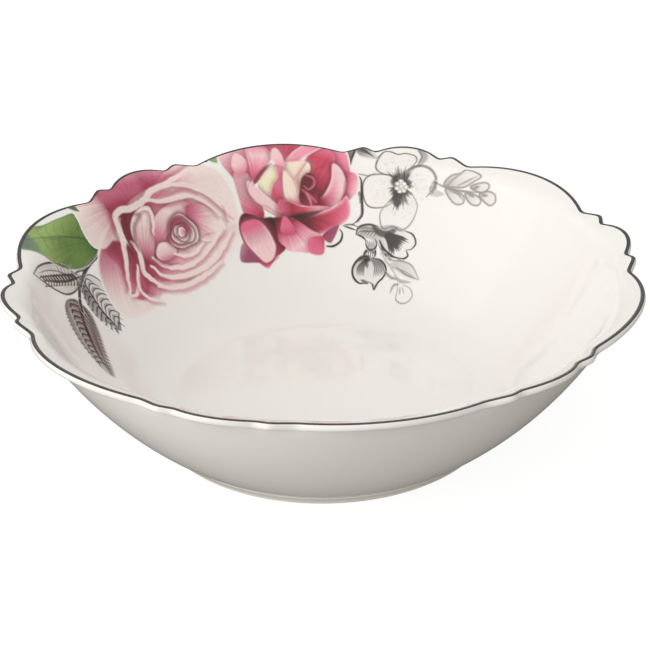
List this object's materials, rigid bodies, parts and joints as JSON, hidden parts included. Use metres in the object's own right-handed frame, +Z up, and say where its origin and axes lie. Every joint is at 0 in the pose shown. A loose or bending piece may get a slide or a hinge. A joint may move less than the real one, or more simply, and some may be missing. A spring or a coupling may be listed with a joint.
{
  "type": "porcelain serving bowl",
  "caption": "Round porcelain serving bowl with a scalloped flared lip, a bright metal edge band, a low foot ring and printed roses, leaves and line-drawn flowers inside.",
  "frame": {"origin": "centre of the foot ring's standing face", "axes": "+Z up out of the bowl's mouth; +X towards the right of a person facing the bowl with the printed flowers at the far side, +Y towards those flowers"},
  "size_m": [0.2474, 0.249, 0.0685],
  "materials": {
    "porcelain": "warm white fired body under a clear gloss glaze",
    "bare_porcelain": "unglazed, fine matt, polished after firing",
    "clear_glaze": "high gloss, faintly warm where it pools",
    "platinum_band": "fired platinum lustre, bright with brush-thin edges",
    "pink_print": "on-glaze print, pale to dusty pink, gloss",
    "crimson_print": "on-glaze print, rose to crimson, gloss",
    "green_print": "on-glaze print, leaf green, gloss",
    "ink_print": "on-glaze line print, warm black fading to grey, gloss"
  },
  "bodies": {
    "root": {"bowl_body": "porcelain", "foot_ring": "bare_porcelain", "inner_glaze": "clear_glaze", "outer_glaze": "clear_glaze", "base_glaze": "clear_glaze", "rim_band": "platinum_band", "pink_rose_print": "pink_print", "crimson_rose_print": "crimson_print", "green_leaf_print": "green_print", "outlined_leaf_print": "ink_print", "banded_leaf_print": "ink_print", "feathered_leaf_print": "ink_print", "blossom_print": "ink_print", "rim_leaf_print": "ink_print", "trumpet_flower_print": "ink_print", "bud_print": "ink_print", "faded_sprig_print": "ink_print", "grey_sprig_print": "ink_print"}
  },
  "joints": []
}
